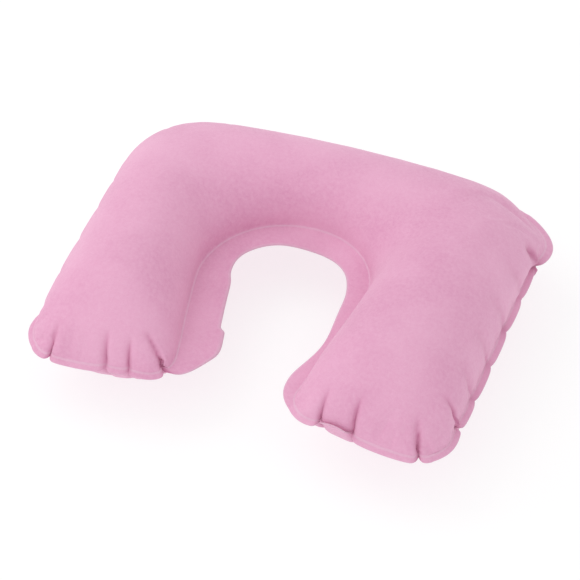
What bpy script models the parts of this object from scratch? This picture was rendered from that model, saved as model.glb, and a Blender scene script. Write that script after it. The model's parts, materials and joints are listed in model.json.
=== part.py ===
"""Inflatable U shaped neck pillow: two flocked film panels welded round their edge, with an oral valve.

Units are metres and +Z is up. The pillow lies on its lower panel: the back of the U is at +Y,
the mouth opens towards -Y, and the origin is under the middle of the pillow, on its resting plane.
"""

from math import cos, pi, radians, sin, sqrt

import bmesh
import bpy
from mathutils import Matrix, Vector

MM = 0.001

# Inflated pillow
FREE_HALF_WIDTH = 180.5 * MM  # middle plane to the outer edge of the flange, before smoothing
BACK_Y = 150 * MM  # outer edge of the flange behind the neck
MOUTH_Y = -153.3 * MM  # the same on the two arm ends, before smoothing rounds them
SEAM_Z = 50 * MM  # height of the welded seam over the resting plane
ARM_RISE = 51 * MM  # seam to crown on the arms
ARM_DROP = 54 * MM  # the same below the seam, where the resting plane flattens it
BACK_RISE = 41 * MM  # seam to crown behind the neck, above and below
CROWN_FULLNESS = 0.85  # 1 is a plain half oval, and less is fuller
FILM = 1.2 * MM  # flocked film, drawn thicker than the real 0.4 mm so that it is a sound solid
WELD_GAP = 0.3 * MM

# Neck opening, measured to the free edge of its flange
NECK_BACK_Y = 38 * MM
NECK_HALF_WIDTH = 48 * MM  # at the widest place, near the back
MOUTH_HALF_WIDTH = 34 * MM  # between the arm ends
NECK_RADIUS = 44 * MM

# Corners and flanges
OUTER_RADIUS = 60 * MM
BACK_BOW = 5 * MM  # how much further back the middle lies than the corners
TAPER = 5 * MM  # how much nearer the middle an arm's outer edge lies at its end
TIP_SLANT = 17 * MM  # how much further back an arm's inner corner lies than its outer one
TIP_RADIUS = 32 * MM
OUTER_FLANGE = 9 * MM
INNER_FLANGE = 22 * MM

# Cage of a panel
ACROSS_CELLS = 8  # between the two weld lines
BACK_CELLS = 3
CORNER_CELLS = 3
ARM_CELLS = 3
TIP_CELLS = 4
TIP_LENGTH = 73 * MM  # how far the crown slopes down to the arm's end
SEAM_CREASE = 0.7

# Valve, on an axis normal to the lower panel, below the seam behind the neck
VALVE_ANGLE = radians(-36)  # round the tube behind the neck, from level
VALVE_LIFT = 0.6 * MM  # from the tube's plain oval out to the film's outer face
BASE_RADIUS = 16 * MM
BASE_BORE = 9 * MM
BASE_TOP = 1.4 * MM
BASE_EDGE = 1.4 * MM
BASE_DEPTH = 5 * MM  # more than the film falls away under the disc
PANEL_HOLE = 10 * MM
WEB_TOP = 0.2 * MM
WEB_FOOT = -6.8 * MM
WEB_THICKNESS = 0.5 * MM
WEB_KNEE = -4.6 * MM  # where the bowl's wall turns in towards the stem
STEM_RADIUS = 5 * MM
STEM_BORE = 3.4 * MM
STEM_TOP = 1.6 * MM
STEM_LENGTH = 17.6 * MM
LIP = 0.7 * MM
GAP = 0.3 * MM
HEAD_RADIUS = 6.2 * MM
HEAD_THICKNESS = 1.4 * MM
SPIGOT_RADIUS = 3.05 * MM
SPIGOT_LENGTH = 5 * MM
SPIGOT_STEPS = 5
SPIGOT_CLEARANCE = 0.1 * MM
TAB_LENGTH = 5 * MM
TAB_WIDTH = 5.4 * MM
TAB_THICKNESS = 0.9 * MM
TAB_OVERLAP = 1 * MM  # how far the tab runs into the plug's head
FOLD_OUT = 7.6 * MM  # the tether's fold, on which the plug swings: out from the valve's axis
FOLD_UP = 1.9 * MM  # and up from the film
TETHER_LOOP = 0.75 * MM
TETHER_WIDTH = 3 * MM
TETHER_THICKNESS = 0.6 * MM
TETHER_STEPS = 6
FLAP_RADIUS = 4.4 * MM
FLAP_HINGE_OUT = 4.6 * MM
FLAP_THICKNESS = 0.6 * MM
TURN_STEPS = 32
MERGE = 0.1 * MM  # points nearer than this on the middle plane are one
TURN_MERGE = 0.01 * MM  # the same on an axis of revolution
EMPTY_SIZE = 5 * MM

PINK = (0.72, 0.36, 0.52, 1)
FLOCK_ROUGHNESS = 0.9
VINYL_PINK = (0.80, 0.52, 0.62, 1)
VINYL_ROUGHNESS = 0.35


def clear_scene():
    for old in list(bpy.data.objects):
        bpy.data.objects.remove(old, do_unlink=True)


def new_collection(name):
    collection = bpy.data.collections.new(name)
    bpy.context.scene.collection.children.link(collection)
    return collection


def material(name, colour, roughness):
    made = bpy.data.materials.new(name)
    made.use_nodes = True
    shader = made.node_tree.nodes["Principled BSDF"]
    shader.inputs["Base Color"].default_value = colour
    shader.inputs["Roughness"].default_value = roughness
    shader.inputs["Metallic"].default_value = 0
    return made


def new_object(name, mesh, collection, finish=None, matrix=None):
    made = bpy.data.objects.new(name, mesh)
    if finish:
        mesh.materials.append(finish)
    if matrix:
        made.matrix_world = matrix
    collection.objects.link(made)
    return made


def move_to(made, collection):
    for old in list(made.users_collection):
        old.objects.unlink(made)
    collection.objects.link(made)


def lerp(a, b, share):
    return a + (b - a) * share


def oval_shares(cells):
    """Shares of a span that stand evenly round a half oval over it."""
    return [(1 - cos(pi * step / cells)) / 2 for step in range(cells + 1)]


def turn_point(centre, radius, share):
    """A point of an outline's turn: level from the middle plane to over centre, then a quarter circle."""
    quarter = pi / 2 * radius
    length = share * (centre.x + quarter)
    if length < centre.x:
        return Vector((length, centre.y + radius))
    angle = pi / 2 * (1 - (length - centre.x) / quarter)
    return centre + Vector((cos(angle), sin(angle))) * radius


def stations():
    """Rows along half of the U, from its back: (inner edge, inner weld, outer weld, outer edge), run.

    run is the row's distance from the arm's end. The outer outlines bow forwards towards the corners.
    """
    neck = Vector((NECK_HALF_WIDTH - NECK_RADIUS, NECK_BACK_Y - NECK_RADIUS))
    corner = Vector((FREE_HALF_WIDTH - OUTER_RADIUS, BACK_Y - OUTER_RADIUS))
    outlines = [
        (neck, NECK_RADIUS),
        (neck, NECK_RADIUS + INNER_FLANGE),
        (corner, OUTER_RADIUS - OUTER_FLANGE),
        (corner, OUTER_RADIUS),
    ]
    turn_cells = BACK_CELLS + CORNER_CELLS
    found = []
    for step in range(turn_cells + 1):
        row = [turn_point(centre, radius, step / turn_cells) for centre, radius in outlines]
        for point in row[2:]:
            point.y -= BACK_BOW * (point.x / FREE_HALF_WIDTH) ** 2
        found.append((row, corner.y - MOUTH_Y))
    arm_start = found[-1][0]
    end_width = FREE_HALF_WIDTH - TAPER
    ends = [
        (MOUTH_HALF_WIDTH, TIP_SLANT),
        (MOUTH_HALF_WIDTH + INNER_FLANGE, TIP_SLANT),
        (end_width - OUTER_FLANGE, 0),
        (end_width, 0),
    ]
    run = corner.y - MOUTH_Y
    crown_start = 1 - (TIP_LENGTH + OUTER_FLANGE) / run
    weld_start = 1 - OUTER_FLANGE / run
    shares = [crown_start * step / ARM_CELLS for step in range(1, ARM_CELLS + 1)]
    for step in range(1, TIP_CELLS + 1):
        shares.append(lerp(crown_start, weld_start, step / TIP_CELLS))
    shares.append(1)
    for share in shares:
        left = 1 - share
        row = []
        for start, (end, end_slant) in zip(arm_start, ends):
            slant = (start.y - corner.y) * left**2 + end_slant * share**3
            row.append(Vector((lerp(start.x, end, share), MOUTH_Y + run * left + slant)))
        found.append((row, run * left))
    return found


def tip_rise(run):
    """Share of the full rise at this distance from the arm end's weld line."""
    if run >= TIP_LENGTH:
        return 1
    return 1 - (1 - max(run, 0) / TIP_LENGTH) ** 2


def round_corner(side, tip):
    """Where a point of the arm's square end goes when that end's corner is rounded.

    side and tip are its distances from the edges. Squares round the corner become circles.
    """
    if side >= TIP_RADIUS or tip >= TIP_RADIUS:
        return side, tip
    p = 1 - side / TIP_RADIUS
    q = 1 - tip / TIP_RADIUS
    if p >= q:
        angle = pi / 4 * q / p if p else 0
    else:
        angle = pi / 2 - pi / 4 * p / q
    reach = max(p, q) * TIP_RADIUS
    return TIP_RADIUS - reach * cos(angle), TIP_RADIUS - reach * sin(angle)


def panel_cage(direction):
    """Half of one panel's cage, open at the middle plane. direction is 1 for upper, -1 for lower."""
    mesh = bmesh.new()
    lines = []
    for (inner, inner_weld, outer_weld, outer), run in stations():
        film = [inner_weld.lerp(outer_weld, share) for share in oval_shares(ACROSS_CELLS)]
        lines.append(([inner] + film + [outer], run))
    ends = lines[-1][0]
    rows = []
    for points, run in lines:
        inner, outer = points[0], points[-1]
        arm_share = min(max((BACK_Y - outer.y) / OUTER_RADIUS, 0), 1)
        arm_rise = ARM_RISE if direction > 0 else ARM_DROP
        rise = lerp(BACK_RISE, arm_rise, arm_share) * tip_rise(run - OUTER_FLANGE)
        row = []
        for index, (point, end) in enumerate(zip(points, ends)):
            near, sign = (inner, 1) if index <= len(points) // 2 else (outer, -1)
            side = abs(point.x - near.x)
            rounded_side, rounded_tip = round_corner(side, point.y - end.y)
            crown = sin(pi * min(max((index - 1) / ACROSS_CELLS, 0), 1)) ** CROWN_FULLNESS
            z = SEAM_Z + direction * (WELD_GAP / 2 + FILM + rise * crown)
            x = point.x + sign * (rounded_side - side)
            row.append(mesh.verts.new((x, end.y + rounded_tip, max(z, 0))))
        rows.append(row)
    crease = mesh.edges.layers.float.new("crease_edge")
    for first, second in zip(rows, rows[1:]):
        for a, b, c, d in zip(first, first[1:], second[1:], second):
            mesh.faces.new((a, b, c, d) if direction < 0 else (d, c, b, a))
    last = len(rows) - 2
    for one, row in enumerate(rows[: last + 1]):
        for column in (1, len(row) - 2):
            if one < last:
                mesh.edges.get((row[column], rows[one + 1][column]))[crease] = SEAM_CREASE
    for a, b in zip(rows[last][1:], rows[last][2:-1]):
        mesh.edges.get((a, b))[crease] = SEAM_CREASE
    mesh.normal_update()
    return mesh


def panel(name, direction, collection, finish, thickness=FILM, offset=-1):
    """One panel, or with another thickness and offset the space beside it."""
    cage = panel_cage(direction)
    mesh = bpy.data.meshes.new(name)
    cage.to_mesh(mesh)
    cage.free()
    mesh.shade_smooth()
    made = new_object(name, mesh, collection, finish)
    mirror = made.modifiers.new("Both halves", "MIRROR")
    mirror.merge_threshold = MERGE
    smooth = made.modifiers.new("Soft form", "SUBSURF")
    smooth.levels = 1
    smooth.render_levels = 1
    smooth.use_limit_surface = False
    film = made.modifiers.new("Film", "SOLIDIFY")
    film.thickness = thickness
    film.offset = offset
    film.use_even_offset = True
    return made


def valve_frame():
    """The valve's axis as a matrix: its Z points out of the film, its X along the pillow's X."""
    inner_weld = NECK_BACK_Y + INNER_FLANGE
    outer_weld = BACK_Y - OUTER_FLANGE
    half_depth = (outer_weld - inner_weld) / 2
    middle = (outer_weld + inner_weld) / 2
    place = Vector((0, middle + half_depth * cos(VALVE_ANGLE), SEAM_Z + BACK_RISE * sin(VALVE_ANGLE)))
    outwards = Vector((0, cos(VALVE_ANGLE) / half_depth, sin(VALVE_ANGLE) / BACK_RISE)).normalized()
    across = Vector((1, 0, 0))
    up = outwards.cross(across)
    turn = Matrix((across, up, outwards)).transposed().to_4x4()
    return Matrix.Translation(place + outwards * VALVE_LIFT) @ turn


def turned(name, profile, collection, finish, matrix=None, closed=True):
    """A solid of revolution about the local Z axis, from (radius, height) points, outer side downwards."""
    mesh = bmesh.new()
    points = [mesh.verts.new((radius, 0, height)) for radius, height in profile]
    for a, b in zip(points, points[1:]):
        mesh.edges.new((a, b))
    if closed:
        mesh.edges.new((points[-1], points[0]))
    data = bpy.data.meshes.new(name)
    mesh.to_mesh(data)
    mesh.free()
    made = new_object(name, data, collection, finish, matrix)
    screw = made.modifiers.new("Turn", "SCREW")
    screw.axis = "Z"
    screw.steps = TURN_STEPS
    screw.render_steps = TURN_STEPS
    screw.use_merge_vertices = True
    screw.merge_threshold = TURN_MERGE
    screw.use_smooth_shade = True
    return made


def add_boolean(piece, other, operation):
    boolean = piece.modifiers.new(operation.capitalize(), "BOOLEAN")
    boolean.operation = operation
    boolean.solver = "EXACT"
    boolean.object = other


def as_cutter(made):
    """Hides a shape that only serves a boolean."""
    made.hide_render = True
    made.display_type = "WIRE"
    return made


def valve_base(frame, collection, finish, film_side):
    """The welded disc. Its underside follows the curve of the film."""
    profile = [
        (BASE_BORE, BASE_TOP),
        (BASE_RADIUS - BASE_EDGE, BASE_TOP),
        (BASE_RADIUS, BASE_TOP - BASE_EDGE / 2),
        (BASE_RADIUS, -BASE_DEPTH),
        (BASE_BORE, -BASE_DEPTH),
    ]
    base = turned("valve_base", profile, collection, finish, frame)
    add_boolean(base, film_side, "DIFFERENCE")


def hole_cutter(frame, cutters):
    bpy.ops.mesh.primitive_cylinder_add(vertices=TURN_STEPS, radius=PANEL_HOLE, depth=3 * BASE_DEPTH)
    hole = bpy.context.object
    hole.name = "Valve hole"
    move_to(hole, cutters)
    hole.matrix_world = frame
    return as_cutter(hole)


def valve_web(frame, collection, finish):
    """The thin bowl that lets the stem be pushed in, between the disc and the stem."""
    outer = BASE_BORE - GAP
    inner = STEM_RADIUS + GAP
    profile = [
        (outer, WEB_TOP),
        (outer - WEB_THICKNESS, WEB_KNEE),
        (inner, WEB_FOOT),
        (inner, WEB_FOOT + WEB_THICKNESS),
        (outer - 2 * WEB_THICKNESS, WEB_KNEE + WEB_THICKNESS),
        (outer - WEB_THICKNESS, WEB_TOP),
    ]
    return turned("valve_web", profile, collection, finish, frame)


def valve_stem(frame, collection, finish):
    """The tube that the user blows into, with a lip round its mouth."""
    foot = STEM_TOP - STEM_LENGTH
    profile = [
        (STEM_BORE, STEM_TOP),
        (STEM_RADIUS + LIP / 2, STEM_TOP),
        (STEM_RADIUS + LIP, STEM_TOP - LIP / 2),
        (STEM_RADIUS + LIP, STEM_TOP - LIP),
        (STEM_RADIUS, STEM_TOP - 2 * LIP),
        (STEM_RADIUS, foot + LIP / 2),
        (STEM_RADIUS - LIP / 2, foot),
        (STEM_BORE, foot),
    ]
    return turned("valve_stem", profile, collection, finish, frame)


def hinge_empty(name, collection, matrix):
    """An empty on a joint's axis, which is its Y."""
    empty = bpy.data.objects.new(name, None)
    empty.empty_display_size = EMPTY_SIZE
    empty.matrix_world = matrix
    collection.objects.link(empty)
    return empty


def hang(piece, empty, offset):
    piece.parent = empty
    piece.matrix_parent_inverse = Matrix.Identity(4)
    piece.matrix_local = Matrix.Translation(offset)


def check_flap(frame, collection, finish):
    """The disc that closes the stem's inner end."""
    top = STEM_TOP - STEM_LENGTH - GAP
    hinge = hinge_empty("Flap hinge", collection, frame @ Matrix.Translation((FLAP_HINGE_OUT, 0, top)))
    profile = [
        (0, 0),
        (FLAP_RADIUS - FLAP_THICKNESS / 4, 0),
        (FLAP_RADIUS, -FLAP_THICKNESS / 4),
        (FLAP_RADIUS, -FLAP_THICKNESS),
        (0, -FLAP_THICKNESS),
    ]
    flap = turned("check_flap", profile, collection, finish, closed=False)
    hang(flap, hinge, Vector((-FLAP_HINGE_OUT, 0, 0)))


def valve_plug(frame, collection, cutters, finish):
    """The stopper: a rounded spigot in the stem, a head over it and a tab to pull it by."""
    hinge = hinge_empty("Plug hinge", collection, frame @ Matrix.Translation((FOLD_OUT, 0, FOLD_UP)))
    low = STEM_TOP + GAP
    top = low + HEAD_THICKNESS
    edge = HEAD_THICKNESS / 4
    profile = [
        (0, top),
        (HEAD_RADIUS - edge, top),
        (HEAD_RADIUS, top - edge),
        (HEAD_RADIUS, low + edge),
        (HEAD_RADIUS - edge, low),
        (SPIGOT_RADIUS, low),
    ]
    # Clear of the bore's far wall as the plug swings out round the tether's fold.
    reach = FOLD_OUT + STEM_BORE - SPIGOT_CLEARANCE
    for step in range(1, SPIGOT_STEPS + 1):
        below = SPIGOT_LENGTH * step / SPIGOT_STEPS
        radius = min(SPIGOT_RADIUS, sqrt(reach * reach - below * below) - FOLD_OUT)
        profile.append((radius, low - below))
    profile.append((0, low - SPIGOT_LENGTH))
    plug = turned("valve_plug", profile, collection, finish, closed=False)
    offset = Vector((-FOLD_OUT, 0, -FOLD_UP))
    hang(plug, hinge, offset)
    tab = pull_tab(cutters)
    hang(tab, hinge, offset + Vector((TAB_OVERLAP - HEAD_RADIUS - TAB_LENGTH / 2, 0, (low + top) / 2)))
    add_boolean(plug, tab, "UNION")


def pull_tab(cutters):
    bpy.ops.mesh.primitive_cube_add(size=1)
    tab = bpy.context.object
    tab.name = "Pull tab"
    tab.data.transform(Matrix.Diagonal((TAB_LENGTH, TAB_WIDTH, TAB_THICKNESS, 1)))
    move_to(tab, cutters)
    round_off = tab.modifiers.new("Round ends", "BEVEL")
    round_off.width = TAB_THICKNESS / 3
    round_off.segments = 2
    return as_cutter(tab)


def plug_tether(frame, collection, finish):
    """The strap from the stem's lip to the plug's head, folded double beside them."""
    bend = FOLD_OUT - TETHER_LOOP
    points = [(STEM_RADIUS + LIP + GAP, FOLD_UP - TETHER_LOOP)]
    for step in range(TETHER_STEPS + 1):
        angle = -pi / 2 + pi * step / TETHER_STEPS
        points.append((bend + TETHER_LOOP * cos(angle), FOLD_UP + TETHER_LOOP * sin(angle)))
    points.append((HEAD_RADIUS + GAP, FOLD_UP + TETHER_LOOP))
    data = bpy.data.curves.new("plug_tether", "CURVE")
    data.dimensions = "3D"
    data.fill_mode = "FULL"
    data.use_fill_caps = True
    data.bevel_depth = TETHER_THICKNESS / 2
    data.bevel_resolution = 1
    data.extrude = TETHER_WIDTH / 2 - data.bevel_depth
    spline = data.splines.new("POLY")
    spline.points.add(len(points) - 1)
    for point, (out, up) in zip(spline.points, points):
        point.co = (out, up, 0, 1)
    stand = Matrix.Rotation(pi / 2, 4, "X")
    return new_object("plug_tether", data, collection, finish, frame @ stand)


def main():
    clear_scene()
    pillow = new_collection("Neck pillow")
    cutters = new_collection("Cutters")
    flock = material("Flocked film", PINK, FLOCK_ROUGHNESS)
    vinyl = material("Soft vinyl", VINYL_PINK, VINYL_ROUGHNESS)
    panel("upper_panel", 1, pillow, flock)
    lower = panel("lower_panel", -1, pillow, flock)
    frame = valve_frame()
    add_boolean(lower, hole_cutter(frame, cutters), "DIFFERENCE")
    side_depth = 2 * BASE_DEPTH
    film_side = panel("Film side", -1, cutters, flock, side_depth, 2 * GAP / side_depth - 1)
    valve_base(frame, pillow, vinyl, as_cutter(film_side))
    valve_web(frame, pillow, vinyl)
    valve_stem(frame, pillow, vinyl)
    check_flap(frame, pillow, vinyl)
    valve_plug(frame, pillow, cutters, vinyl)
    plug_tether(frame, pillow, vinyl)


main()
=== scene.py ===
"""Looks of the inflatable neck pillow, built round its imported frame.

The pillow is made as the real one is: two flat-cut sheets of flocked film, joined along a weld line
that is gathered into creases, and blown up by a cloth simulation. Lengths are in metres.
"""

import json
from math import cos, pi, radians, sin

import bmesh
import bpy
import numpy as np
from mathutils import Matrix, Vector
from mathutils.bvhtree import BVHTree


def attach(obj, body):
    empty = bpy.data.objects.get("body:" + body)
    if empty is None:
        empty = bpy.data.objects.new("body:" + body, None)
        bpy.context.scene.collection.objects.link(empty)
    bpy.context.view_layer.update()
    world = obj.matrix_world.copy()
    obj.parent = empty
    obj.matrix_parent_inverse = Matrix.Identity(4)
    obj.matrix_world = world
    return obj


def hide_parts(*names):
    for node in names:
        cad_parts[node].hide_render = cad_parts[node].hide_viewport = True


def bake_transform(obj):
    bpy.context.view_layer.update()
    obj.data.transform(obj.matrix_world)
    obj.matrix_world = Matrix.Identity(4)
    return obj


MM = 0.001

# The inflated form, seen from above, measured to the weld line
HALF_WIDTH = 172.5 * MM
BACK_Y = 141 * MM
MOUTH_Y = -143 * MM
NECK_BACK_Y = 60 * MM
# Of each half: neck's half width and radius, mouth's half width, how much further back an arm's
# inner corner lies than its outer one, and radius of the outer corner
HALVES = {
    -1: (75.8 * MM, 73.7 * MM, 49.6 * MM, 13 * MM, 56 * MM),
    1: (63.5 * MM, 61.5 * MM, 43 * MM, 14 * MM, 46.4 * MM),
}
BACK_TILT = 3.8 * MM  # how much further back the right corner lies than the middle
BACK_BOW = 4.8 * MM  # how much further back the middle lies than the corners
TAPER = 5.2 * MM  # how much nearer the middle an arm lies at its end
TIP_RADII = (18 * MM, 27 * MM)  # of the inner and the outer corner of an arm's end
SEAM_Z = 50 * MM
ARM_RISE = 51 * MM
BACK_RISE = 41 * MM
TIP_LENGTH = 73 * MM  # the arm slopes down to its end over this
TIP_POINT = 2.0  # exponent of that slope: a blunt wedge, as two flat sheets make
NECK_EASE = 1.2  # exponent of how the neck space narrows to its mouth
END_BOW = 4 * MM  # how far the middle of an arm's end bows out
FLAT_GROWTH = 1.4  # of a corner's radius on the sheet as it is cut
FULLNESS = 0.88  # exponent of the section's crown: below 1 is rounder than an ellipse

# Flanges
OUTER_FLANGE = 6.5 * MM
END_FLANGE = 5.5 * MM
NECK_FLANGES = (30 * MM, 20 * MM, 17 * MM)  # along the left arm, behind the neck, along the right arm
STEP_Y = -76 * MM  # where the left arm's inner flange steps out to its corner lobe
STEP_OUT = 4 * MM
HIDDEN_Y = -62 * MM  # where the right arm's inner flange is narrowest
HIDDEN_BY = 8 * MM
LOBE_X = 150 * MM  # the lobe at the right corner behind the neck lies beyond this
LOBE_Y = 102 * MM
LOBE_SPREAD = 19 * MM
LOBE_BULGE = 9 * MM  # how far the film bulges out there
LOBE_FLANGE = 1 * MM  # how much wider its flange is
END_SPREAD = 30 * MM  # along the sides, the flange changes to the ends' one over this
NECK_CHANGE = (-25 * MM, 30 * MM)  # forward of the middle, the neck's flange changes to the arms' one here
CORNER_FROM = 40 * MM  # and to the ends' one from this far behind the mouth
CORNER_CHANGE = 24 * MM
WIDTH_STEPS = 24  # smoothing of these changes
STEP_CHANGE = (-1 * MM, 3 * MM)
HIDDEN_SPREAD = 32 * MM
FILM = 0.5 * MM

# How far the flange hangs down from level, in degrees
NECK_DROOP = 6.0
OUTER_DROOP = 14.0
END_DROOP = 22  # more at the arms' ends
BACK_DROOP = 26  # more behind the neck, a little right of the middle
BACK_DROOP_X = 14 * MM
BACK_DROOP_SPREAD = 34 * MM
BACK_CHANGE = (-10 * MM, 40 * MM)
TUCKED_DROOP = 58  # more along the left side, between its corners
SIDE_FROM, SIDE_TO = 130 * MM, 150 * MM
TUCKED_FROM, TUCKED_TO = 20 * MM, 60 * MM  # back from the arm's end
TUCKED_CORNER = 30 * MM
WAVE_DROOP = 10  # up and down round the outside
WAVE_LENGTH = 61 * MM
TURNED_UP = 125  # less where the right arm's end flange is folded up
TURNED_X = 84 * MM
TURNED_SPREAD = 11 * MM
END_DEPTH = 20 * MM
ROOT_BEND = 0.55  # of the droop, at the weld

# Mesh of one sheet
TURN_ROWS = 54
ARM_ROWS = 38
TIP_ROWS = 26
FILM_COLUMNS = 48
EVEN_STEPS = 60  # smoothing of the form along the U, clear of the arms' ends
FLANGE_RINGS = 6

# Creases of the gathered weld, in mm: x and y of the foot, depth, reach, and lean in degrees.
# The last one is the fold beside the lobe
END_CREASES = (
    (-146, -143, 6, 17, 0),
    (-101, -141, 6, 16, 4),
    (-84, -138, 6, 14, 2),
    (-54, -129, 10, 24, 5),
    (69, -136, 6, 17, 0),
    (97, -140, 7, 18, 0),
    (151, -143, 9, 20, 4),
    (174, -104, 7, 13, -5),
    (174, 79, 6, 6, 0),
)
SIDE_CREASES = (-75, -38, -1, 36)  # in y, on both outer sides
SIDE_STAGGER = 4  # how far they are moved, back on the right and forward on the left
BACK_CREASES = (-96, -62, -30, 4, 36, 68, 98)  # in x
CORNER_TURNS = (18, 45, 72)  # degrees round the left corner behind the neck
SMALL_DEPTH = 1.8  # of the side, back and corner creases, in mm
SMALL_REACH = 13  # in mm
CREASE_WIDTH = 1.0 * MM
SMALL_WIDTH = 4.0 * MM  # of shallow and of short creases
CREASE_SPLAY = 0.04  # how much wider a crease gets as it runs into the film
FULL_FOLD = 5 * MM  # a crease this deep gets the darkest painted shade
CREASE_FADE = 0.8  # exponent of how it gets shallower
CREASE_SECTION = 1.5  # exponent of its section: below 2 is sharper than a bell curve
CREASE_OVERRUN = 10 * MM  # it runs on this far outside its foot, under a bulge of the film
CREASE_DRAW = 0.6  # how far a crease draws in the weld, of its depth
SHARP_DEPTH = 4 * MM  # creases deeper than this notch the flange sharply, and the rest widely
SHARP_NOTCH = 1.6 * MM
WIDE_NOTCH = 5 * MM
NOTCH_SHARE = 0.5  # depth of a notch in the flange's edge, of its crease's depth
GATHER_SHARE = 0.45  # how far the blown up film is drawn in at a crease, of its depth
GATHER_SPREAD = 9 * MM
CROWD_REACH = 6.5 * MM  # the mesh is drawn together this near to a crease
CROWD_SLIDE = 5.2 * MM
CROWD_FADE = 45 * MM  # and from the weld this far into the film

# Valve, in its own frame: out along its axis from the film, and up the film's slope
VALVE_CLEAR = 12 * MM  # the film is cut away under the welded disc
VALVE_FLAT = 20 * MM  # the film follows the disc's seat as far as this
VALVE_FADE = 50 * MM  # and is free of it from here
VALVE_DEPTH = 30 * MM  # only film this near to the disc's plane is moved
WEB_PROFILE = ((8.7, 0.2), (8.5, -2.4), (8.0, -4.4), (6.9, -5.9), (5.3, -6.8))  # radius and height, in mm
WEB_THICKNESS = 0.5 * MM
TETHER_ROOT = 5.9 * MM  # from the stem's lip
TETHER_END = 6.4 * MM  # to the plug's head
TETHER_FOLD = 7.6 * MM
TETHER_MIDDLE = 1.9 * MM  # height of the fold
TETHER_LOOP = 0.75 * MM
TETHER_WIDTH = 3 * MM
TETHER_THICKNESS = 0.6 * MM
LOOP_STEPS = 8
ROUND_STEPS = 48

# Colours and light
FLOCK_DEEP = (0.72, 0.325, 0.505, 1)
FLOCK_LIGHT = (0.80, 0.405, 0.585, 1)
FLOCK_PALE = (0.86, 0.51, 0.67, 1)
FLOCK_SHADE = (0.60, 0.22, 0.39, 1)
# painted shade laid into the creases' bottoms
CREASE_SHADE_PINK = (0.50, 0.13, 0.27, 1)
# pale pink: the vinyl's specks, and the weld band and free edge, which are partly painted highlight
PALE_AND_HIGHLIGHT_PINK = (0.80, 0.56, 0.68, 1)
WELD_BAND = 1.8  # width of the weld line, in mm
WELD_BLUR = 0.3  # half width of its soft sides, in mm
VINYL_LIGHT = (0.86, 0.56, 0.68, 1)
VINYL_DEEP = (0.76, 0.42, 0.56, 1)
FLOOR_DULL = (0.30, 0.30, 0.30, 1)
FLOOR_LIGHT = (0.32, 0.32, 0.32, 1)
FLOOR_GLOW = 0.71  # a lit sweep, on which shadows stay faint
FLOOR_REACH = 5
WORLD_LIGHT = 0.88
# Place, size and power of the soft lights
KEY_LIGHT = ((-0.9, 0.2, 1.0), 1.2, 4.0)
FILL_LIGHT = ((-0.9, -1.3, 0.7), 1.4, 3.0)

# Camera
AZIMUTH = radians(20.5)
ELEVATION = radians(45.5)
LENS = 135
DISTANCE = 1.72
LOOK_AT = Vector((0, 0, 50 * MM))
AIM_LEFT = 2.4 * MM
AIM_DOWN = 9.5 * MM

# Cloth
FRAMES = 22
GATHER_FRAMES = 8
PRESSURE = 600.0
END_EASE = 0.05  # how much longer the film is cut than the smooth form, round the arms' ends
END_EASE_SPREAD = 32 * MM
SIDE_EASE = 0.03  # and round the rest of the outside
SIDE_EASE_SPREAD = 18 * MM
END_ZONE = 60 * MM
MOST_TRAVEL = 14 * MM


def lerp(a, b, share):
    return a + (b - a) * share


def turn_point(centre, radius, share):
    """A point of an outline's turn: level from the middle plane to over centre, then a quarter circle."""
    quarter = pi / 2 * radius
    length = share * (centre[0] + quarter)
    if length < centre[0]:
        return np.array((length, centre[1] + radius))
    angle = pi / 2 * (1 - (length - centre[0]) / quarter)
    return np.array((centre[0] + radius * cos(angle), centre[1] + radius * sin(angle)))


def oval_arc(half_width, rise):
    """Length of half an oval's outline."""
    ratio = ((half_width - rise) / (half_width + rise)) ** 2
    return pi / 2 * (half_width + rise) * (1 + ratio / 4)


def half_rows(side):
    """Rows along half of the U, from its back: inner and outer weld, rise, share of it, flat excess.

    side is -1 for the left half and 1 for the right one. Both are given as if they were the right one.
    """
    neck_width, neck_radius, mouth_width, slant_at_tip, outer_radius = HALVES[side]
    neck = np.array((neck_width - neck_radius, NECK_BACK_Y - neck_radius))
    corner = np.array((HALF_WIDTH - outer_radius, BACK_Y - outer_radius))
    rows = []
    for step in range(TURN_ROWS + 1):
        share = step / TURN_ROWS
        inner = turn_point(neck, neck_radius, share)
        outer = turn_point(corner, outer_radius, share)
        toward_arm = min(max((BACK_Y - outer[1]) / outer_radius, 0), 1)
        outer[1] += side * BACK_TILT * outer[0] / HALF_WIDTH - BACK_BOW * (outer[0] / HALF_WIDTH) ** 2
        rows.append((inner, outer, lerp(BACK_RISE, ARM_RISE, toward_arm), 1.0, 0.0))
    start_inner, start_outer = rows[-1][:2]
    run = start_outer[1] - MOUTH_Y
    straight = run - TIP_LENGTH
    places = [(run - straight * step / ARM_ROWS, 1.0) for step in range(1, ARM_ROWS + 1)]
    for step in range(1, TIP_ROWS + 1):
        share = 1 - step / TIP_ROWS
        places.append((TIP_LENGTH * share, 1 - (1 - share) ** TIP_POINT))
    extra, last = 0.0, (run, 1.0)
    for distance, slope in places:
        share = 1 - distance / run
        slant = (start_inner[1] - start_outer[1]) * (1 - share) ** 2 + slant_at_tip * share**3
        inner_y = MOUTH_Y + distance + slant
        progress = (start_inner[1] - inner_y) / (start_inner[1] - MOUTH_Y - slant_at_tip)
        inner = np.array((lerp(start_inner[0], mouth_width, progress**NECK_EASE), inner_y))
        outer = np.array((HALF_WIDTH - TAPER * share, MOUTH_Y + distance))
        level = last[0] - distance
        extra += np.hypot(level, (last[1] - slope) * ARM_RISE) - level
        last = distance, slope
        rows.append((inner, outer, ARM_RISE, slope, extra))
    return rows


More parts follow.
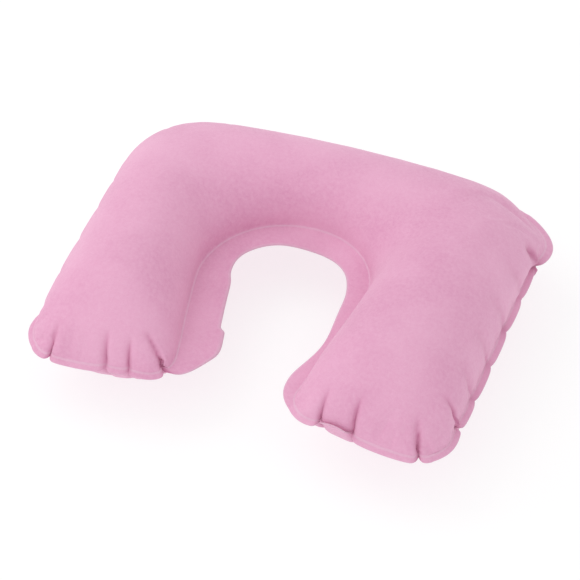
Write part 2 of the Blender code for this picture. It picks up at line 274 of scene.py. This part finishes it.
def round_corner(side, tip, radius):
    """Where points near a square corner go when it is rounded: squares round it become circles."""
    p = np.clip(1 - side / radius, 0, 1)
    q = np.clip(1 - tip / radius, 0, 1)
    inside = (p > 0) & (q > 0)
    big = np.maximum(p, q)
    with np.errstate(divide="ignore", invalid="ignore"):
        angle = np.where(p >= q, pi / 4 * q / p, pi / 2 - pi / 4 * p / q)
    new_side = radius * (1 - big * np.cos(angle))
    new_tip = radius * (1 - big * np.sin(angle))
    return np.where(inside, new_side, side), np.where(inside, new_tip, tip)


def half_grids(side):
    """(inflated, flat) grids of points of half of one sheet inside the weld, from the back."""
    share = np.arange(FILM_COLUMNS + 1) / FILM_COLUMNS
    oval = (1 - np.cos(pi * share)) / 2
    crown = np.sin(pi * share)
    inflated, flat = [], []
    for inner, outer, rise, slope, extra in half_rows(side):
        width = np.linalg.norm(outer - inner)
        across = (outer - inner) / width
        points = inner + across * width * oval[:, None]
        height = rise * slope * np.clip(crown, 0, 1) ** FULLNESS
        inflated.append(np.column_stack([points, height]))
        length = oval_arc(width / 2, rise)
        spread = inner - across * (length - width) / 2 + across * length * share[:, None]
        spread[:, 1] -= extra
        flat.append(np.column_stack([spread, np.zeros(len(share))]))
    inflated = np.array(inflated)
    flat = np.array(flat)
    for grid, growth in ((inflated, 1), (flat, FLAT_GROWTH)):
        end = grid[-1, :, 1].copy()
        bow = END_BOW * near(grid[:, :, 1] - end, 0, TIP_LENGTH / 2) * crown
        for near_column, sign, radius in ((0, 1, TIP_RADII[0] * growth), (-1, -1, TIP_RADII[1] * growth)):
            away = (grid[:, :, 0] - grid[:, near_column, 0][:, None]) * sign
            tip = grid[:, :, 1] - end
            new_away, new_tip = round_corner(away, tip, radius)
            grid[:, :, 0] += sign * (new_away - away)
            grid[:, :, 1] += new_tip - tip
        grid[:, :, 1] -= bow
    return inflated, flat


def sheet_grids():
    """(inflated, flat) grids of one sheet inside the weld, for the whole U.

    Rows run from the left arm's end round the back to the right one's, columns from the neck outwards.
    """
    mirror = np.array((-1, 1, 1))
    both = zip(half_grids(-1), half_grids(1))
    grids = [np.concatenate([(left * mirror)[::-1], right[1:]]) for left, right in both]
    for grid in grids:
        clear = np.arange(TIP_ROWS, len(grid) - TIP_ROWS)
        for _ in range(EVEN_STEPS):
            grid[clear] = (grid[clear - 1] + 2 * grid[clear] + grid[clear + 1]) / 4
    return grids


def loop_of(rows, columns):
    """Grid places in order round the edge of the sheet, from the neck side at the left arm's end."""
    places = [(r, 0) for r in range(rows)]
    places += [(rows - 1, c) for c in range(1, columns)]
    places += [(r, columns - 1) for r in range(rows - 2, -1, -1)]
    places += [(0, c) for c in range(columns - 2, 0, -1)]
    return np.array(places)


def smooth_loop(values, times):
    for _ in range(times):
        values = (np.roll(values, 1, 0) + 2 * values + np.roll(values, -1, 0)) / 4
    return values


def unit(vectors):
    return vectors / np.maximum(np.linalg.norm(vectors, axis=-1, keepdims=True), 1e-12)


def grid_normals(grid):
    down, along = np.gradient(grid, axis=0), np.gradient(grid, axis=1)
    normal = unit(np.cross(along, down))
    return np.where(normal[..., 2:] < 0, -normal, normal)


class Seam:
    """The weld line of the inflated form, with its creases. Its arrays run once round the film's edge."""

    def __init__(self, inflated, flat):
        self.order = loop_of(*inflated.shape[:2])
        self.on_grid = self.order[:, 0], self.order[:, 1]
        self.points = inflated[self.on_grid].copy()
        steps = np.linalg.norm(np.roll(self.points, -1, 0) - self.points, axis=1)
        self.length = steps.sum()
        self.at = np.concatenate([[0], np.cumsum(steps)[:-1]])
        ahead = np.roll(self.points, -1, 0) - np.roll(self.points, 1, 0)
        self.tangent = unit(smooth_loop(unit(ahead), 4))
        # The loop runs with the film on its left
        self.outward = np.column_stack([self.tangent[:, 1], -self.tangent[:, 0], np.zeros(len(steps))])
        self.inner = np.arange(len(steps)) < inflated.shape[0]
        edge = flat[self.on_grid]
        gaps = np.linalg.norm(flat.reshape(-1, 1, 3)[..., :2] - edge[None, :, :2], axis=2)
        self.nearest = gaps.argmin(axis=1)
        self.inset = gaps.min(axis=1)
        self.creases = []

    def add_crease(self, x, y, depth, reach, lean=0.0):
        spot = np.hypot(self.points[:, 0] - x * MM, self.points[:, 1] - y * MM).argmin()
        turn = radians(lean)
        rotation = np.array(((cos(turn), -sin(turn)), (sin(turn), cos(turn))))
        inward = rotation @ -self.outward[spot][:2]
        self.creases.append((self.at[spot], self.points[spot][:2], inward, depth * MM, reach * MM))

    def gaps_to(self, place):
        """Signed distances along the seam from a place on it."""
        return (self.at - place + self.length / 2) % self.length - self.length / 2

    def crowding(self):
        """How far points slide along the seam to stand closer together at the creases."""
        slide = np.zeros(len(self.at))
        for place, *_ in self.creases:
            near_by = self.gaps_to(place) / CROWD_REACH
            slide -= CROWD_SLIDE * near_by * np.exp(-(near_by**2) / 2)
        return slide

    def drawn_in(self, share, spread=None):
        """How far the seam or, with no spread given, the flange's edge is drawn in round the creases."""
        inset = np.zeros(len(self.at))
        for place, _, _, depth, _ in self.creases:
            reach = spread or (SHARP_NOTCH if depth > SHARP_DEPTH else WIDE_NOTCH)
            inset += depth * share * np.exp(-np.abs(self.gaps_to(place)) / reach)
        return inset

    def lobe(self):
        """1 in the middle of the lobe at the right corner behind the neck, and 0 away from it."""
        return near(self.points[:, 1], LOBE_Y, LOBE_SPREAD) * (self.points[:, 0] > LOBE_X)

    def at_ends(self):
        """1 on the outside at the arms' ends, and 0 away from them."""
        return near(self.points[:, 1], MOUTH_Y, END_SPREAD) * ~self.inner

    def valleys(self, points):
        """Depth of the creases under points of the film. They are straight and fade away from the seam."""
        depths = np.zeros(points.shape[:-1])
        for _, foot, inward, depth, reach in self.creases:
            offset = points[..., :2] - foot
            along = offset @ inward
            across = offset @ np.array((-inward[1], inward[0]))
            sharp = depth > SHARP_DEPTH and reach >= SMALL_REACH * MM
            spread = (CREASE_WIDTH if sharp else SMALL_WIDTH) + CREASE_SPLAY * np.clip(along, 0, None)
            fade = np.clip(1 - along / reach, 0, 1) ** CREASE_FADE * (along > -CREASE_OVERRUN)
            section = np.exp(-((np.abs(across) / spread) ** CREASE_SECTION))
            depths = np.maximum(depths, depth * fade * section)
        return depths


def find_creases(seam):
    for crease in END_CREASES:
        seam.add_crease(*crease)
    for side in (-1, 1):
        for y in SIDE_CREASES:
            seam.add_crease(side * HALF_WIDTH / MM, y + SIDE_STAGGER * side, SMALL_DEPTH, SMALL_REACH)
    corner = HALVES[-1][-1] / MM
    middle = HALF_WIDTH / MM - corner, BACK_Y / MM - corner
    for turn in CORNER_TURNS:
        x = -middle[0] - corner * cos(radians(turn))
        seam.add_crease(x, middle[1] + corner * sin(radians(turn)), SMALL_DEPTH, SMALL_REACH)
    for x in BACK_CREASES:
        seam.add_crease(x, BACK_Y / MM, SMALL_DEPTH, SMALL_REACH)


def quads(index, turned):
    a, b, c, d = index[:-1, :-1], index[1:, :-1], index[1:, 1:], index[:-1, 1:]
    corners = (a, d, c, b) if turned else (a, b, c, d)
    return np.stack([corner.ravel() for corner in corners], axis=1).tolist()


def closed_mesh(name, grid, seam):
    """(mesh, upper indices, lower indices): the sheet and its mirror image, sharing the weld ring."""
    rows, columns = grid.shape[:2]
    upper = np.arange(rows * columns).reshape(rows, columns)
    lower = np.full((rows, columns), -1)
    lower[seam.on_grid] = upper[seam.on_grid]
    free = lower < 0
    lower[free] = rows * columns + np.arange(free.sum())
    points = np.concatenate([grid.reshape(-1, 3), (grid * np.array((1, 1, -1)))[free]])
    mesh = bpy.data.meshes.new(name)
    mesh.from_pydata(points.tolist(), [], quads(upper, False) + quads(lower, True))
    return mesh, upper, lower


def coordinates(mesh):
    found = np.empty(len(mesh.vertices) * 3, np.float32)
    mesh.vertices.foreach_get("co", found)
    return found.reshape(-1, 3)


def blow_up(smooth, gathered, ease, seam):
    """The two sheets blown up by Blender's cloth while their weld is drawn in to its gathered line.

    ease is how much longer than the smooth form the film is cut, where the seam gathers it.
    """
    mesh, upper, lower = closed_mesh("film_cloth", smooth, seam)
    film = bpy.data.objects.new("film_cloth", mesh)
    bpy.context.scene.collection.objects.link(film)
    target, _, _ = closed_mesh("film_gathered", gathered, seam)
    film.shape_key_add(name="Basis")
    key = film.shape_key_add(name="gathered")
    key.data.foreach_set("co", coordinates(target).ravel())
    bpy.data.meshes.remove(target)
    for value, at_frame in ((0, 1), (1, 1 + GATHER_FRAMES)):
        key.value = value
        key.keyframe_insert("value", frame=at_frame)
    held = film.vertex_groups.new(name="held")
    held.add(upper[seam.on_grid].tolist(), 1.0, "REPLACE")
    uneased = film.vertex_groups.new(name="uneased")
    most = ease.max()
    for sheet in (upper, lower):
        for index, amount in zip(sheet.ravel(), ease.ravel()):
            uneased.add([int(index)], float(1 - amount / most), "REPLACE")
    cloth = film.modifiers.new("Cloth", "CLOTH")
    settings = cloth.settings
    settings.quality = 5
    settings.mass = 0.2
    settings.tension_stiffness = settings.compression_stiffness = 40
    settings.shear_stiffness = 20
    settings.bending_stiffness = 1.0
    settings.tension_damping = settings.compression_damping = settings.shear_damping = 5
    settings.bending_damping = 0.5
    settings.air_damping = 1.0
    settings.use_pressure = True
    settings.uniform_pressure_force = PRESSURE
    settings.effector_weights.gravity = 0
    settings.vertex_group_mass = "held"
    settings.pin_stiffness = 1.0
    settings.shrink_min = -float(most)
    settings.shrink_max = 0.0
    settings.vertex_group_shrink = "uneased"
    cloth.collision_settings.use_collision = False
    cloth.point_cache.frame_start, cloth.point_cache.frame_end = 1, FRAMES
    before = coordinates(mesh)
    for frame_number in range(1, FRAMES + 1):
        bpy.context.scene.frame_set(frame_number)
    after = coordinates(film.evaluated_get(bpy.context.evaluated_depsgraph_get()).data)
    bpy.data.objects.remove(film)
    bpy.data.meshes.remove(mesh)
    bpy.context.scene.frame_set(1)
    travel = after - before
    far = np.linalg.norm(travel, axis=1, keepdims=True)
    points = (before + travel * np.minimum(1, MOST_TRAVEL / np.maximum(far, 1e-9))).astype(float)
    return points[upper], points[lower]


def near(values, place, spread):
    return np.exp(-(((values - place) / spread) ** 2))


def smooth_step(values, start, end):
    share = np.clip((values - start) / (end - start), 0, 1)
    return share * share * (3 - 2 * share)


def flange_widths(seam):
    """Width of the flange all round: wide at the neck, notched at the creases, stepped near a corner."""
    x, y = seam.points[:, 0], seam.points[:, 1]
    left, back, right = NECK_FLANGES
    on_arm = smooth_step(-y, *NECK_CHANGE)
    neck_width = lerp(back, np.where(x < 0, left, right), on_arm)
    width = np.where(seam.inner, neck_width, OUTER_FLANGE)
    width = lerp(width, END_FLANGE, seam.at_ends())
    toward_corner = smooth_step(MOUTH_Y + CORNER_FROM - y, 0, CORNER_CHANGE) * seam.inner
    width = lerp(width, END_FLANGE, toward_corner)
    width = smooth_loop(width, WIDTH_STEPS)
    width = width + LOBE_FLANGE * seam.lobe()
    width = width - seam.drawn_in(NOTCH_SHARE) * ~seam.inner
    stepped = smooth_step(STEP_Y - y, *STEP_CHANGE) * (1 - toward_corner)
    narrowed = HIDDEN_BY * near(y, HIDDEN_Y, HIDDEN_SPREAD) * (1 - toward_corner)
    return width + np.where(x < 0, STEP_OUT * stepped, -narrowed) * seam.inner


def flange_droops(seam):
    """How far the flange hangs down all round, in degrees."""
    x, y = seam.points[:, 0], seam.points[:, 1]
    at_end = seam.at_ends()
    droop = np.where(seam.inner, NECK_DROOP, OUTER_DROOP)
    droop += END_DROOP * at_end
    behind = near(x, BACK_DROOP_X, BACK_DROOP_SPREAD) * smooth_step(y, *BACK_CHANGE)
    droop += np.where(seam.inner, BACK_DROOP * behind, 0)
    side = np.clip((np.abs(x) - SIDE_FROM) / (SIDE_TO - SIDE_FROM), 0, 1)
    tucked = side * (x < 0) * smooth_step(y, MOUTH_Y + TUCKED_FROM, MOUTH_Y + TUCKED_TO)
    tucked *= 1 - smooth_step(y, BACK_Y - TUCKED_CORNER, BACK_Y)
    droop += TUCKED_DROOP * tucked
    wave = WAVE_DROOP * np.sin(2 * pi * seam.at / WAVE_LENGTH) * (1 - at_end)
    droop += np.where(seam.inner, 0, wave)
    turned_up = near(x, TURNED_X, TURNED_SPREAD) * (y < MOUTH_Y + END_DEPTH) * ~seam.inner
    droop -= TURNED_UP * turned_up
    return smooth_loop(droop, 4)


def flange_rings(seam, weld):
    """Rings of the flange outside the weld, and their distances from it."""
    width = flange_widths(seam)
    angle = np.radians(flange_droops(seam))
    rings, distances = [], []
    for ring in range(1, FLANGE_RINGS + 1):
        share = ring / FLANGE_RINGS
        bend = angle * lerp(ROOT_BEND, 1, share)
        reach = width * share
        out = seam.outward * (reach * np.cos(bend))[:, None]
        down = np.array((0, 0, 1)) * (reach * np.sin(bend))[:, None]
        rings.append(weld + out - down)
        distances.append(reach)
    return rings, distances


def film_piece(name, grid, rings, distances, fold, seam, turned, hole=None):
    """One sheet, from its film and its layer of the flange.

    Its attributes: weld, the distance out from the weld line in mm, which places the weld band and its
    painted highlight; fold, 1 in the creases' bottoms, where shade is painted in; and edge, 1 on the
    flange's free edge, which is painted pale, partly as a highlight.
    """
    rows, columns = grid.shape[:2]
    index = np.arange(rows * columns).reshape(rows, columns)
    points = [grid.reshape(-1, 3)]
    faces = quads(index, turned)
    ring = index[seam.on_grid]
    total = rows * columns
    for ring_points in rings:
        outside = total + np.arange(len(ring))
        total += len(ring)
        a, b = ring, np.roll(ring, -1)
        c, d = np.roll(outside, -1), outside
        # The film lies on the left of the loop, and its faces turn with rows before columns
        corners = (a, b, c, d) if turned else (a, d, c, b)
        faces += np.stack(corners, axis=1).tolist()
        points.append(ring_points)
        ring = outside
    points = np.concatenate(points)
    away = np.concatenate([-seam.inset] + distances)
    mesh = bpy.data.meshes.new(name)
    mesh.from_pydata(points.tolist(), [], faces)
    mesh.polygons.foreach_set("use_smooth", [True] * len(mesh.polygons))
    deep = np.concatenate([fold.ravel()] + [fold[seam.on_grid]] * len(rings))
    edge = np.zeros(len(away))
    edge[-len(ring) :] = 1
    for attribute, values in (("weld", away / MM), ("fold", deep), ("edge", edge)):
        layer = mesh.attributes.new(attribute, "FLOAT", "POINT")
        layer.data.foreach_set("value", values.astype(np.float32))
    made = bpy.data.objects.new(name, mesh)
    bpy.context.scene.collection.objects.link(made)
    if hole:
        cut_hole(mesh, *hole)
    return made


def cut_hole(mesh, centre, radius):
    work = bmesh.new()
    work.from_mesh(mesh)
    inside = [face for face in work.faces if (face.calc_center_median() - centre).length < radius]
    bmesh.ops.delete(work, geom=inside, context="FACES")
    work.to_mesh(mesh)
    work.free()


def thicken(made, thickness, levels=1, offset=1):
    """Subdivided film of real thickness outside the built surface, applied to the mesh."""
    smooth = made.modifiers.new("smooth", "SUBSURF")
    smooth.levels = smooth.render_levels = levels
    solid = made.modifiers.new("film", "SOLIDIFY")
    solid.thickness = thickness
    solid.offset = offset
    apply_modifiers(made)


def apply_modifiers(made):
    evaluated = made.evaluated_get(bpy.context.evaluated_depsgraph_get())
    mesh = bpy.data.meshes.new_from_object(evaluated)
    mesh.name = made.name
    made.modifiers.clear()
    made.data = mesh


def valve_matrix(joints):
    """The valve's frame: Z out of the film along the stem, X along the pillow's X."""
    pull = next(joint for joint in joints if joint["name"] == "stem_pull")
    out = Vector(pull["axis"]).normalized()
    across = Vector((1, 0, 0))
    turn = Matrix((across, out.cross(across), out)).transposed().to_4x4()
    return Matrix.Translation(pull["pos_m"]) @ turn


def seat_valve(points, panel, valve):
    """Points of the lower sheet, moved along the valve's axis on to the seat of its disc."""
    corners = [vertex.co for vertex in panel.data.vertices]
    seat = BVHTree.FromPolygons(corners, [face.vertices for face in panel.data.polygons])
    out = valve.to_3x3().col[2]
    away = np.array(valve.inverted())
    local = points @ away[:3, :3].T + away[:3, 3]
    radius = np.hypot(local[..., 0], local[..., 1])
    near_valve = (radius < VALVE_FADE) & (np.abs(local[..., 2]) < VALVE_DEPTH)
    moved = points.copy()
    for place in np.argwhere(near_valve):
        place = tuple(place)
        start = valve @ Vector((local[place][0], local[place][1], VALVE_FADE))
        hit = seat.ray_cast(start, -out)[0]
        if hit:
            height = (valve.inverted() @ hit).z - FILM
            share = 1 - smooth_step(radius[place], VALVE_FLAT, VALVE_FADE)
            moved[place] += np.array(out) * (height - local[place][2]) * share
    return moved


def web_piece(valve):
    """The thin bowl between the disc and the stem."""
    rings = []
    for radius, height in WEB_PROFILE:
        ring = [
            valve @ (Vector((radius * cos(angle), radius * sin(angle), height)) * MM)
            for angle in (2 * pi * step / ROUND_STEPS for step in range(ROUND_STEPS))
        ]
        rings.append(ring)
    points = [point for ring in rings for point in ring]
    faces = []
    for level in range(len(rings) - 1):
        for step in range(ROUND_STEPS):
            a, b = level * ROUND_STEPS + step, level * ROUND_STEPS + (step + 1) % ROUND_STEPS
            faces.append((a, b, b + ROUND_STEPS, a + ROUND_STEPS))
    web = mesh_object("web", points, faces)
    thicken(web, WEB_THICKNESS, offset=-1)
    return web


def tether_piece(valve):
    """The strap folded double between the stem's lip and the plug's head."""
    bend = TETHER_FOLD - TETHER_LOOP
    path = [(TETHER_ROOT, -TETHER_LOOP), (lerp(TETHER_ROOT, bend, 0.5), -TETHER_LOOP)]
    for step in range(LOOP_STEPS + 1):
        angle = -pi / 2 + pi * step / LOOP_STEPS
        path.append((bend + TETHER_LOOP * cos(angle), TETHER_LOOP * sin(angle)))
    path += [(lerp(TETHER_END, bend, 0.5), TETHER_LOOP), (TETHER_END, TETHER_LOOP)]
    across = np.linspace(-0.5, 0.5, 5)
    points, faces = [], []
    for out, height in path:
        for share in across:
            points.append(valve @ Vector((out, share * TETHER_WIDTH, TETHER_MIDDLE + height)))
    index = np.arange(len(points)).reshape(len(path), len(across))
    strap = mesh_object("tether", points, quads(index, False))
    thicken(strap, TETHER_THICKNESS, offset=0)
    return strap


def mesh_object(name, points, faces):
    mesh = bpy.data.meshes.new(name)
    mesh.from_pydata([tuple(point) for point in points], [], faces)
    mesh.polygons.foreach_set("use_smooth", [True] * len(mesh.polygons))
    made = bpy.data.objects.new(name, mesh)
    bpy.context.scene.collection.objects.link(made)
    return made


class Shading:
    """A material's node tree, with short ways to add and join nodes."""

    def __init__(self, name):
        self.material = bpy.data.materials.new(name)
        self.material.use_nodes = True
        self.tree = self.material.node_tree
        self.shader = self.tree.nodes["Principled BSDF"]
        self.place = self.tree.nodes.new("ShaderNodeTexCoord").outputs["Object"]

    def add(self, kind, links=None, **values):
        node = self.tree.nodes.new(kind)
        for name, value in values.items():
            setattr(node, name, value)
        for socket, source in (links or {}).items():
            self.join(source, node.inputs[socket])
        return node

    def join(self, source, socket):
        if isinstance(source, bpy.types.NodeSocket):
            self.tree.links.new(source, socket)
        else:
            socket.default_value = source

    def noise(self, scale, detail=4.0, roughness=0.5):
        links = {"Vector": self.place, "Scale": scale, "Detail": detail, "Roughness": roughness}
        return self.add("ShaderNodeTexNoise", links).outputs["Fac"]

    def spread(self, value, low, high, out_low=0.0, out_high=1.0):
        links = {"Value": value, "From Min": low, "From Max": high, "To Min": out_low, "To Max": out_high}
        return self.add("ShaderNodeMapRange", links).outputs["Result"]

    def mix(self, share, first, second, blend="MIX"):
        node = self.add("ShaderNodeMix", data_type="RGBA", blend_type=blend)
        self.join(share, node.inputs["Factor"])
        self.join(first, node.inputs[6])
        self.join(second, node.inputs[7])
        return node.outputs[2]

    def maths(self, operation, first, second):
        return self.add("ShaderNodeMath", {0: first, 1: second}, operation=operation).outputs[0]

    def bump(self, height, distance, strength, normal=None):
        links = {"Height": height, "Distance": distance, "Strength": strength}
        if normal is not None:
            links["Normal"] = normal
        return self.add("ShaderNodeBump", links).outputs["Normal"]

    def finish(self, **sockets):
        for name, value in sockets.items():
            self.join(value, self.shader.inputs[name.replace("_", " ")])
        return self.material


def flocked_film():
    """Short pink nap on vinyl film: dull, mottled where the nap lies over, and flat along the weld, with
    painted highlight on the weld line and the free edge, and painted shade in the creases.
    """
    shade = Shading("flocked_film")
    patches = shade.spread(shade.noise(14, 3, 0.55), 0.36, 0.64)
    nap = shade.spread(shade.noise(380, 5, 0.65), 0.3, 0.7)
    grain = shade.noise(1900, 3, 0.7)
    colour = shade.mix(patches, FLOCK_DEEP, FLOCK_LIGHT)
    colour = shade.mix(shade.spread(nap, 0, 1, 0.0, 0.5), colour, FLOCK_PALE)
    colour = shade.mix(shade.spread(grain, 0.35, 0.65, 0.0, 0.22), colour, FLOCK_SHADE)
    # painted highlight along the weld: a thin band, partly pressed nap, is lightened; the same band sets
    # its bump and roughness
    away = shade.add("ShaderNodeAttribute", attribute_name="weld").outputs["Fac"]
    from_weld = shade.maths("ABSOLUTE", shade.maths("SUBTRACT", away, WELD_BAND / 2), 0.0)
    weld = shade.spread(from_weld, WELD_BAND / 2 - WELD_BLUR, WELD_BAND / 2 + WELD_BLUR, 1.0, 0.0)
    # painted highlight on the flange's free edge, partly the pale cut film
    edge = shade.add("ShaderNodeAttribute", attribute_name="edge").outputs["Fac"]
    cut = shade.spread(edge, 0.35, 0.9, 0.0, 0.55)
    colour = shade.mix(shade.maths("MULTIPLY", weld, 0.35), colour, PALE_AND_HIGHLIGHT_PINK)
    colour = shade.mix(cut, colour, PALE_AND_HIGHLIGHT_PINK)
    # painted shade: the creases' bottoms are darkened towards deep pink
    fold = shade.add("ShaderNodeAttribute", attribute_name="fold").outputs["Fac"]
    colour = shade.mix(shade.maths("MULTIPLY", fold, 0.75), colour, CREASE_SHADE_PINK)
    height = shade.maths("ADD", shade.maths("MULTIPLY", nap, 0.5), grain)
    pressed = shade.bump(weld, 0.3 * MM, 0.6)
    normal = shade.bump(height, 0.4 * MM, 0.6, pressed)
    rough = shade.spread(weld, 0, 1, 0.95, 0.6)
    return shade.finish(
        Base_Color=colour,
        Roughness=rough,
        Normal=normal,
        Sheen_Weight=0.35,
        Sheen_Roughness=0.5,
        Sheen_Tint=(1.0, 0.86, 0.93, 1),
        Specular_IOR_Level=0.25,
    )


def soft_vinyl():
    """Moulded vinyl, slightly milky, with flow marks and a fine matt grain."""
    shade = Shading("soft_vinyl")
    flow = shade.spread(shade.noise(90, 3, 0.5), 0.35, 0.65)
    specks = shade.noise(900, 4, 0.6)
    colour = shade.mix(flow, VINYL_DEEP, VINYL_LIGHT)
    colour = shade.mix(shade.spread(specks, 0.4, 0.75, 0.0, 0.2), colour, PALE_AND_HIGHLIGHT_PINK)
    rough = shade.spread(shade.noise(240, 4, 0.6), 0.3, 0.7, 0.28, 0.44)
    normal = shade.bump(specks, 0.12 * MM, 0.3)
    return shade.finish(
        Base_Color=colour,
        Roughness=rough,
        Normal=normal,
        Subsurface_Weight=0.15,
        Subsurface_Radius=(2 * MM, 1 * MM, 1 * MM),
        Subsurface_Scale=1.0,
        Coat_Weight=0.15,
        Coat_Roughness=0.3,
    )


def floor_white():
    """White paper sweep with a barely visible tone and grain."""
    shade = Shading("floor_white")
    tone = shade.noise(3, 3, 0.5)
    colour = shade.mix(shade.spread(tone, 0.3, 0.7), FLOOR_DULL, FLOOR_LIGHT)
    normal = shade.bump(shade.noise(400, 3, 0.6), 0.05 * MM, 0.1)
    return shade.finish(
        Base_Color=colour,
        Roughness=0.9,
        Normal=normal,
        Specular_IOR_Level=0.1,
        Emission_Color=(1, 1, 1, 1),
        Emission_Strength=FLOOR_GLOW,
    )


def soft_light(name, place, size, energy):
    light = bpy.data.objects.new(name, bpy.data.lights.new(name, "AREA"))
    light.data.size = size
    light.data.energy = energy
    light.location = place
    light.rotation_euler = (LOOK_AT - Vector(place)).to_track_quat("-Z", "Y").to_euler()
    bpy.context.scene.collection.objects.link(light)


def add_camera():
    camera = bpy.data.objects.new("camera", bpy.data.cameras.new("camera"))
    bpy.context.scene.collection.objects.link(camera)
    bpy.context.scene.camera = camera
    camera.data.lens = LENS
    back = Vector((sin(AZIMUTH) * cos(ELEVATION), -cos(AZIMUTH) * cos(ELEVATION), sin(ELEVATION)))
    right = Vector((cos(AZIMUTH), sin(AZIMUTH), 0))
    target = LOOK_AT - right * AIM_LEFT - back.cross(right) * AIM_DOWN
    camera.location = target + back * DISTANCE
    camera.rotation_euler = (-back).to_track_quat("-Z", "Y").to_euler()


def add_room():
    corners = [(x * FLOOR_REACH, y * FLOOR_REACH, 0) for x, y in ((-1, -1), (1, -1), (1, 1), (-1, 1))]
    floor = mesh_object("floor", corners, [(0, 1, 2, 3)])
    floor.data.materials.append(floor_white())
    world = bpy.data.worlds.new("world")
    world.use_nodes = True
    background = world.node_tree.nodes["Background"]
    background.inputs["Color"].default_value = (1, 1, 1, 1)
    background.inputs["Strength"].default_value = WORLD_LIGHT
    bpy.context.scene.world = world
    soft_light("key", *KEY_LIGHT)
    soft_light("fill", *FILL_LIGHT)
    bpy.context.scene.view_settings.view_transform = "Standard"


def crowded(inflated, seam):
    """The smooth form with its points slid along the seam, closer together at the creases."""
    fade = np.clip(1 - seam.inset / CROWD_FADE, 0, 1)
    slide = (seam.crowding()[seam.nearest] * fade)[:, None] * seam.tangent[seam.nearest]
    return inflated + slide.reshape(inflated.shape)


def with_gathered_weld(smooth, seam):
    """The smooth form with its weld drawn in at the creases and let out at the lobe."""
    gathered = smooth.copy()
    moved_in = seam.drawn_in(GATHER_SHARE, GATHER_SPREAD) - LOBE_BULGE * seam.lobe()
    gathered[seam.on_grid] -= seam.outward * moved_in[:, None]
    return gathered


def film_ease(smooth, seam):
    """How much longer than the smooth form the film is cut, where the seam gathers it."""
    outer = ~seam.inner[seam.nearest]
    toward_end = smooth_step(-smooth[..., 1].ravel(), -MOUTH_Y - END_ZONE, -MOUTH_Y)
    at_end = END_EASE * toward_end * near(seam.inset, 0, END_EASE_SPREAD)
    at_side = SIDE_EASE * (1 - toward_end) * near(seam.inset, 0, SIDE_EASE_SPREAD)
    return (outer * (at_end + at_side)).reshape(smooth.shape[:2])


def creased(sheet, up, seam):
    """(points, folds): a sheet with its creases sunk in, and how deep in a crease each point lies, which
    sets the painted shade there.
    """
    valley = seam.valleys(sheet)
    ring = sheet[seam.on_grid] - seam.outward * (CREASE_DRAW * valley[seam.on_grid])[:, None]
    sheet = sheet - up * grid_normals(sheet) * valley[..., None]
    sheet[seam.on_grid] = ring
    return sheet, np.clip(valley / FULL_FOLD, 0, 1)


def add_films(nodes, valve):
    """Both sheets of the pillow, each with its layer of the flange."""
    inflated, flat = sheet_grids()
    seam = Seam(inflated, flat)
    find_creases(seam)
    smooth = crowded(inflated, seam)
    gathered = with_gathered_weld(smooth, seam)
    upper, lower = blow_up(smooth, gathered, film_ease(smooth, seam), seam)
    upper, upper_crease_shade = creased(upper, 1, seam)
    lower, lower_crease_shade = creased(lower, -1, seam)
    lift = np.array((0, 0, SEAM_Z))
    upper, lower = upper + lift, lower + lift
    lower[..., 2] = np.maximum(lower[..., 2], FILM)
    lower = seat_valve(lower, nodes["lower_panel"], valve)
    rings, distances = flange_rings(seam, upper[seam.on_grid])
    top = film_piece("upper_film", upper, rings, distances, upper_crease_shade, seam, False)
    hole = valve.translation, VALVE_CLEAR
    bottom = film_piece("lower_film", lower, rings, distances, lower_crease_shade, seam, True, hole)
    flock = flocked_film()
    for piece, node in ((top, "upper_panel"), (bottom, "lower_panel")):
        thicken(piece, FILM)
        piece.data.materials.append(flock)
        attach(piece, "pillow")
        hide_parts(node)


def add_valve(nodes, valve):
    """Looks of the valve's rigid pieces, and its bowl and tether."""
    vinyl = soft_vinyl()
    for node in ("valve_base", "valve_stem", "check_flap", "valve_plug"):
        made = nodes[node]
        made.data.materials.clear()
        made.data.materials.append(vinyl)
    web = web_piece(valve)
    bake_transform(web)
    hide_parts("valve_web")
    tether = tether_piece(valve)
    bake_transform(tether)
    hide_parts("plug_tether")
    for piece in (web, tether):
        piece.data.materials.append(vinyl)


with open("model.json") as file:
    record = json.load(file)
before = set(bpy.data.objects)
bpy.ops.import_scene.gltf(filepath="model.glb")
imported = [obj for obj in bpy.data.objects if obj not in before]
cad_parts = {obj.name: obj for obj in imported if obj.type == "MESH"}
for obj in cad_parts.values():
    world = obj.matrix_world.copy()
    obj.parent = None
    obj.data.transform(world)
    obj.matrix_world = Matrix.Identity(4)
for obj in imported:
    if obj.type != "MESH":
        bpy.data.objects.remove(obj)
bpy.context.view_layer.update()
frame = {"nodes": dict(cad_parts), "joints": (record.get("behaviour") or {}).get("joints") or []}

valve = valve_matrix(frame["joints"])
add_films(frame["nodes"], valve)
add_valve(frame["nodes"], valve)
add_camera()
add_room()
